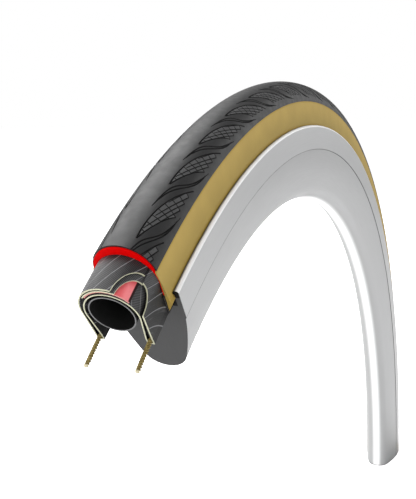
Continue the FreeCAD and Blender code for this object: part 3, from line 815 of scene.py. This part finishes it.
def silverFinish():
    finish = Finish("satinSilver", roughness=rim["roughness"], metallic=1.0)
    finish.wheel()
    # brushed round the wheel
    lengthwise, crosswise = rim["brushing"]
    brushed = finish.join(finish.math("MULTIPLY", finish.turn, lengthwise),
                          finish.math("MULTIPLY", finish.radius, crosswise),
                          finish.math("MULTIPLY", finish.side, crosswise))
    fine = finish.noise(1.0, 2, brushed)
    foot, soft = rim["trackFoot"], rim["softEdge"]
    track = finish.fade(finish.radius, foot - soft, foot + soft)
    darker, lighter = [[share * c for c in rim["silver"]]
                       for share in (1 - rim["silverSpread"], 1 + rim["silverSpread"])]
    colour = finish.mix(fine, darker, lighter)
    track = finish.math("MULTIPLY", track, rim["trackShare"])
    colour = finish.mix(track, colour, rim["brightSilver"])
    reach = finish.math("ABSOLUTE", finish.side)
    # a painted highlight: the nose is painted near white, standing in for a reflection
    nose = finish.math("MULTIPLY", finish.fade(reach, *rim["nose"]),
                       finish.fade(finish.radius, *rim["noseHighlightRadii"]))
    colour = finish.mix(nose, colour, rim["noseHighlightWhite"])
    seam = finish.lines(finish.math("SUBTRACT", finish.radius, foot), 1.0, rim["seamWidth"])
    colour = finish.mix(finish.math("MULTIPLY", seam, rim["seamShare"]), colour, rim["seamGrey"])
    # the hook's rounded edge is painted from dark at the tyre to near white: a painted shadow and a
    # painted highlight, standing in for its reflection
    hook = finish.fade(finish.radius, rim["hook"] - soft, rim["hook"] + soft)
    edge = finish.mix(finish.fade(reach, *rim["hookSides"]), rim["hookShadow"], rim["hookHighlight"])
    finish.set("Base Color", finish.mix(hook, colour, edge))
    painted = finish.math("MAXIMUM", hook, nose)
    finish.set("Metallic", finish.math("MULTIPLY_ADD", painted, -rim["paintShare"], 1.0))
    spread = rim["roughnessSpread"]
    finish.set("Roughness", finish.fade(
        fine, 0.25, 0.75, rim["roughness"] - spread, rim["roughness"] + spread))
    finish.bump(fine, 0.000012, 0.35)
    return finish


def plateFinish(name, colour, corner=False):
    # a sawn and painted face, with a painted shadow in black in the corner under the near hook if it
    # has that corner
    finish = Finish(name, roughness=0.7, specular=0.15)
    saw = finish.noise(1.0, 2, finish.place, (260.0, 3200.0, 260.0))
    painted = finish.mix(saw, [0.93 * c for c in colour], [1.07 * c for c in colour])
    if corner:
        # a painted shadow: the corner under the near hook's lip is painted black
        finish.wheel()
        rightSide = finish.fade(finish.side, 0.0, -0.001)
        inside = finish.math("MULTIPLY", finish.fade(finish.side, *rim["cornerShadowSides"]), rightSide)
        dark = finish.math("MULTIPLY", finish.fade(finish.radius, *rim["cornerShadowRadii"]), inside)
        painted = finish.mix(dark, painted, rim["cutBlackAndShadow"])
    finish.set("Base Color", painted)
    finish.bump(saw, 0.00002, 0.4)
    return finish


paint(["rim_body", "rim_fairing"], silverFinish())
paint(["far_plate"], plateFinish("cutGreyPaint", rim["cutGrey"]))
paint(["near_plate"], plateFinish("nearCutPaintAndShadow", rim["cutGrey"], corner=True))
paint(["far_hook_left", "far_hook_right", "near_hook_left", "near_hook_right"],
      plateFinish("cutBlackPaint", rim["cutBlackAndShadow"]))
print("rim finished")


# bead cords: three twisted strands where they come out of the casing

cord = {
    "radius": 0.3123,
    "halfWidth": 0.00082,
    "coreRadius": 0.00063,  # inside the casing
    "coreSides": 10,
    "coreLengths": 90,
    "overlap": 0.002,  # of the core and the strands
    "end": 128.5,  # degrees of wheel
    "bareFrom": 126.0,
    "twist": 0.0032,  # metres for one turn
    "strands": 3,
    "strandShare": 0.58,  # of the cord's half width
    "strandOut": 0.52,  # of the cord's half width, from its middle to a strand's
    "sides": 8,
    "stepsPerTurn": 12,
    "gold": (0.33, 0.255, 0.08),
    "brown": (0.15, 0.11, 0.032),
    "tip": (0.62, 0.56, 0.38),
    "tipDepth": (0.16, 0.05),  # degrees of wheel
}


def cordFinish():
    finish = Finish("cordFibre", roughness=0.6, specular=0.3)
    finish.wheel()
    fibres = finish.noise(2400, 3)
    colour = finish.mix(finish.fade(fibres, 0.35, 0.65), cord["brown"], cord["gold"])
    tip = finish.fade(finish.turn, *[radians(cord["end"] - depth) for depth in cord["tipDepth"]])
    finish.set("Base Color", finish.mix(tip, colour, cord["tip"]))
    finish.bump(fibres, 0.00008, 0.7)
    return finish


def drawn(bm, sides, radius, place, steps, length, twist=0.0):
    # a round bar along X, made in steps from a disc at that place, turned by twist at each step
    ring = bmesh.ops.create_circle(bm, cap_ends=True, segments=sides, radius=radius,
                                   matrix=place @ Matrix.Rotation(pi / 2, 4, "Y"))["verts"]
    cap = [f for f in bm.faces if all(v in ring for v in f.verts)]
    for _ in range(steps):
        made = bmesh.ops.extrude_face_region(bm, geom=cap)["geom"]
        cap = [f for f in made if isinstance(f, bmesh.types.BMFace)]
        moved = [v for v in made if isinstance(v, bmesh.types.BMVert)]
        bmesh.ops.rotate(bm, verts=moved, cent=(0, 0, 0), matrix=Matrix.Rotation(twist, 3, "X"))
        bmesh.ops.translate(bm, verts=moved, vec=(length / steps, 0, 0))


def buildCord(name, nodeName, finish):
    side = sum(corner.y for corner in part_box(nodeName)) / 2
    length = radians(cord["end"]) * cord["radius"]
    bare = radians(cord["end"] - cord["bareFrom"]) * cord["radius"]
    steps = round(bare / cord["twist"] * cord["stepsPerTurn"])
    strandPlace = Matrix.Translation((0, 0, cord["halfWidth"] * cord["strandOut"]))
    bm = bmesh.new()
    # straight along X first, its cut end at zero: the bare strands, then the core inside the casing
    for k in range(cord["strands"]):
        around = Matrix.Rotation(2 * pi * k / cord["strands"], 4, "X")
        drawn(bm, cord["sides"], cord["halfWidth"] * cord["strandShare"], around @ strandPlace,
              steps, bare, 2 * pi / cord["stepsPerTurn"])
    corePlace = Matrix.Translation((bare - cord["overlap"], 0, 0))
    drawn(bm, cord["coreSides"], cord["coreRadius"], corePlace,
          cord["coreLengths"], length - bare + cord["overlap"])
    inside = [f for f in bm.faces if all(len(e.link_faces) > 2 for e in f.edges)]
    bmesh.ops.delete(bm, geom=inside, context="FACES_ONLY")
    for vertex in bm.verts:
        x, y, z = vertex.co
        turn = radians(cord["end"]) - x / cord["radius"]
        vertex.co = wheelPoint(cord["radius"] + z, side + y, turn)
    bmesh.ops.recalc_face_normals(bm, faces=bm.faces)
    for face in bm.faces:
        face.smooth = len(face.verts) == 4
    piece = addPiece(name, bm, [finish.material])
    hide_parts(nodeName)


fibre = cordFinish()
buildCord("bead_cord_left", "bead_core_left", fibre)
buildCord("bead_cord_right", "bead_core_right", fibre)
print("bead cords built")

bpy.context.view_layer.update()
